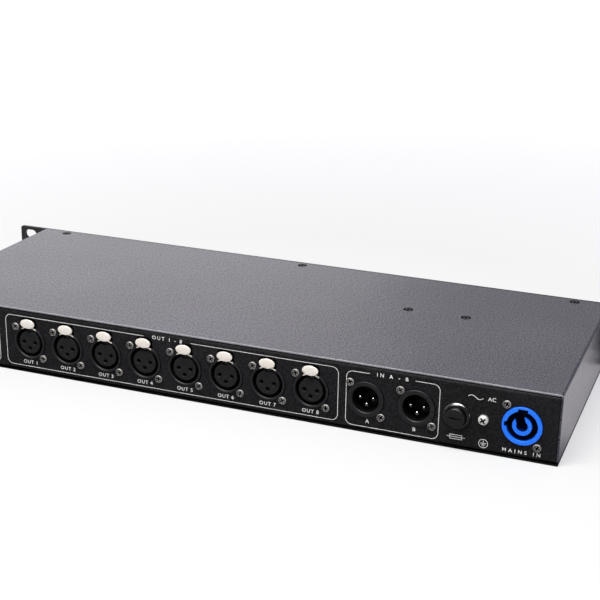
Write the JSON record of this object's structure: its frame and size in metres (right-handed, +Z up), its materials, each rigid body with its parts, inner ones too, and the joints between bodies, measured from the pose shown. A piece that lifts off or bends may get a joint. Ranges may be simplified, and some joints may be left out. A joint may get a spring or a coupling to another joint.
{
  "type": "rack mount network lighting node",
  "caption": "Flat rack-mount box for lighting data, with ears, a row of round sockets with push latches, round pin sockets, a blue mains inlet, a fuse holder and a small front display.",
  "frame": {"origin": "bottom centre of the object's box, on the underside of the base plate", "axes": "+X to the right when looking at the rack face from the front, +Y from the rack face back to the connectors, +Z up"},
  "size_m": [0.4826, 0.1756, 0.044],
  "materials": {
    "powder_coat": "fine textured black powder coat on steel sheet",
    "black_plastic": "moulded black plastic",
    "insert_plastic": "dark grey moulded contact insert",
    "latch_metal": "cast and plated thumb plate",
    "steel": "zinc plated steel",
    "pin_metal": "silver plated contact pins",
    "inlet_blue": "satin blue moulded plastic",
    "jack_metal": "tinned sheet shield",
    "board_green": "green circuit board with black chips",
    "window_acrylic": "dark tinted acrylic",
    "display_grey": "display module",
    "button_black": "moulded black plastic",
    "light_guide_clear": "clear moulded light guide",
    "winding_yellow": "taped winding on its core",
    "capacitor_sleeve": "shrunk sleeve",
    "aluminium": "extruded and cut",
    "fuse_glass": "glass tube with metal end bands",
    "ribbon_grey": "grey flat cable",
    "lead_brown": "brown insulated lead",
    "lead_blue": "blue insulated lead",
    "lead_green": "green and yellow insulated lead"
  },
  "bodies": {
    "case": {"base_plate": "powder_coat", "top_cover": "powder_coat", "rear_panel": "powder_coat", "front_panel": "powder_coat", "front_channel": "powder_coat", "output_shell_1": "black_plastic", "output_shell_2": "black_plastic", "output_shell_3": "black_plastic", "output_shell_4": "black_plastic", "output_shell_5": "black_plastic", "output_shell_6": "black_plastic", "output_shell_7": "black_plastic", "output_shell_8": "black_plastic", "input_shell_a": "black_plastic", "input_shell_b": "black_plastic", "fuse_holder": "black_plastic", "output_insert_1": "insert_plastic", "output_insert_2": "insert_plastic", "output_insert_3": "insert_plastic", "output_insert_4": "insert_plastic", "output_insert_5": "insert_plastic", "output_insert_6": "insert_plastic", "output_insert_7": "insert_plastic", "output_insert_8": "insert_plastic", "input_pins_a": "pin_metal", "input_pins_b": "pin_metal", "mains_inlet": "inlet_blue", "ground_screw": "steel", "cover_pillar_1": "steel", "cover_pillar_2": "steel", "network_jack_1": "jack_metal", "network_jack_2": "jack_metal", "main_board": "board_green", "power_supply_board": "board_green", "front_board": "board_green", "transformer": "winding_yellow", "smoothing_capacitor": "capacitor_sleeve", "heat_sink": "aluminium", "display_window": "window_acrylic", "display_module": "display_grey", "light_guide": "light_guide_clear", "ribbon_cable": "ribbon_grey", "live_lead": "lead_brown", "fused_lead": "lead_brown", "neutral_lead": "lead_blue", "earth_lead": "lead_green"},
    "latch_1": {"push_latch_1": "latch_metal"},
    "latch_2": {"push_latch_2": "latch_metal"},
    "latch_3": {"push_latch_3": "latch_metal"},
    "latch_4": {"push_latch_4": "latch_metal"},
    "latch_5": {"push_latch_5": "latch_metal"},
    "latch_6": {"push_latch_6": "latch_metal"},
    "latch_7": {"push_latch_7": "latch_metal"},
    "latch_8": {"push_latch_8": "latch_metal"},
    "key_1": {"button_1": "button_black"},
    "key_2": {"button_2": "button_black"},
    "key_3": {"button_3": "button_black"},
    "key_4": {"button_4": "button_black"},
    "fuse_carrier": {"fuse_link": "fuse_glass"},
    "fuse_knob": {"fuse_cap": "black_plastic"}
  },
  "joints": [
    {"name": "latch_push_1", "type": "slide", "parent": "case", "child": "latch_1", "axis": [0, -1, 0], "range_m": [0, 0.0018], "stiffness_N_per_m": 2500},
    {"name": "latch_push_2", "type": "slide", "parent": "case", "child": "latch_2", "axis": [0, -1, 0], "range_m": [0, 0.0018], "stiffness_N_per_m": 2500},
    {"name": "latch_push_3", "type": "slide", "parent": "case", "child": "latch_3", "axis": [0, -1, 0], "range_m": [0, 0.0018], "stiffness_N_per_m": 2500},
    {"name": "latch_push_4", "type": "slide", "parent": "case", "child": "latch_4", "axis": [0, -1, 0], "range_m": [0, 0.0018], "stiffness_N_per_m": 2500},
    {"name": "latch_push_5", "type": "slide", "parent": "case", "child": "latch_5", "axis": [0, -1, 0], "range_m": [0, 0.0018], "stiffness_N_per_m": 2500},
    {"name": "latch_push_6", "type": "slide", "parent": "case", "child": "latch_6", "axis": [0, -1, 0], "range_m": [0, 0.0018], "stiffness_N_per_m": 2500},
    {"name": "latch_push_7", "type": "slide", "parent": "case", "child": "latch_7", "axis": [0, -1, 0], "range_m": [0, 0.0018], "stiffness_N_per_m": 2500},
    {"name": "latch_push_8", "type": "slide", "parent": "case", "child": "latch_8", "axis": [0, -1, 0], "range_m": [0, 0.0018], "stiffness_N_per_m": 2500},
    {"name": "key_press_1", "type": "slide", "parent": "case", "child": "key_1", "axis": [0, 1, 0], "range_m": [0, 0.0008], "stiffness_N_per_m": 2000},
    {"name": "key_press_2", "type": "slide", "parent": "case", "child": "key_2", "axis": [0, 1, 0], "range_m": [0, 0.0008], "stiffness_N_per_m": 2000},
    {"name": "key_press_3", "type": "slide", "parent": "case", "child": "key_3", "axis": [0, 1, 0], "range_m": [0, 0.0008], "stiffness_N_per_m": 2000},
    {"name": "key_press_4", "type": "slide", "parent": "case", "child": "key_4", "axis": [0, 1, 0], "range_m": [0, 0.0008], "stiffness_N_per_m": 2000},
    {"name": "fuse_draw", "type": "slide", "parent": "case", "child": "fuse_carrier", "axis": [0, 1, 0], "range_m": [0, 0.032]},
    {"name": "fuse_turn", "type": "hinge", "parent": "fuse_carrier", "child": "fuse_knob", "pos_m": [-0.1591, 0.08225, 0.0213], "axis": [0, 1, 0], "range_deg": [0, 60]}
  ]
}
